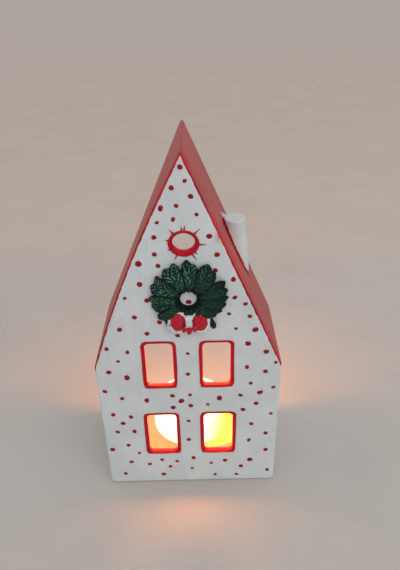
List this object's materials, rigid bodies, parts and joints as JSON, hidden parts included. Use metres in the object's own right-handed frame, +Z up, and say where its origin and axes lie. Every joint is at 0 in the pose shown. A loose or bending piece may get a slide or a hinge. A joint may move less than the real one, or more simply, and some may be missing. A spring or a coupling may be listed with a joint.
{
  "type": "tealight house",
  "caption": "White plaster gable house with red roof, chimney, leaf wreath and cut-out windows, open at the back to take a battery tealight.",
  "frame": {"origin": "middle of the base underside, where the house stands on the table", "axes": "+Z up towards the ridge, the gable front faces -Y, +X to the right as seen from the front"},
  "size_m": [0.08, 0.0634, 0.1652],
  "materials": {
    "white_plaster": "matte",
    "green_leaves": "satin",
    "red_paint": "satin",
    "white_plastic": "satin",
    "flame_plastic": "satin",
    "led_epoxy": "gloss",
    "tinned_wire": "satin",
    "cell_steel": "satin",
    "contact_brass": "satin",
    "dark_plastic": "matte"
  },
  "bodies": {
    "house": {"house_shell": "white_plaster", "chimney": "white_plaster", "wreath": "green_leaves", "bow": "red_paint"},
    "tealight": {"candle_body": "white_plastic", "flame_lens": "flame_plastic", "led": "led_epoxy", "led_leads": "tinned_wire", "base_plate": "white_plastic", "coin_cell": "cell_steel", "minus_contact": "contact_brass", "plus_contact": "contact_brass"},
    "switch": {"switch_slider": "dark_plastic", "switch_wiper": "contact_brass"},
    "cover": {"battery_cover": "white_plastic"}
  },
  "joints": [
    {"name": "tealight_slide", "type": "slide", "parent": "house", "child": "tealight", "axis": [0, 1, 0], "range_m": [-0.0158, 0.042]},
    {"name": "switch_slide", "type": "slide", "parent": "tealight", "child": "switch", "axis": [1, 0, 0], "range_m": [0, 0.0026]},
    {"name": "cover_twist", "type": "hinge", "parent": "tealight", "child": "cover", "pos_m": [-0.0005, 0.0193, 0.0051], "axis": [0, 0, -1], "range_deg": [0, 60]}
  ]
}
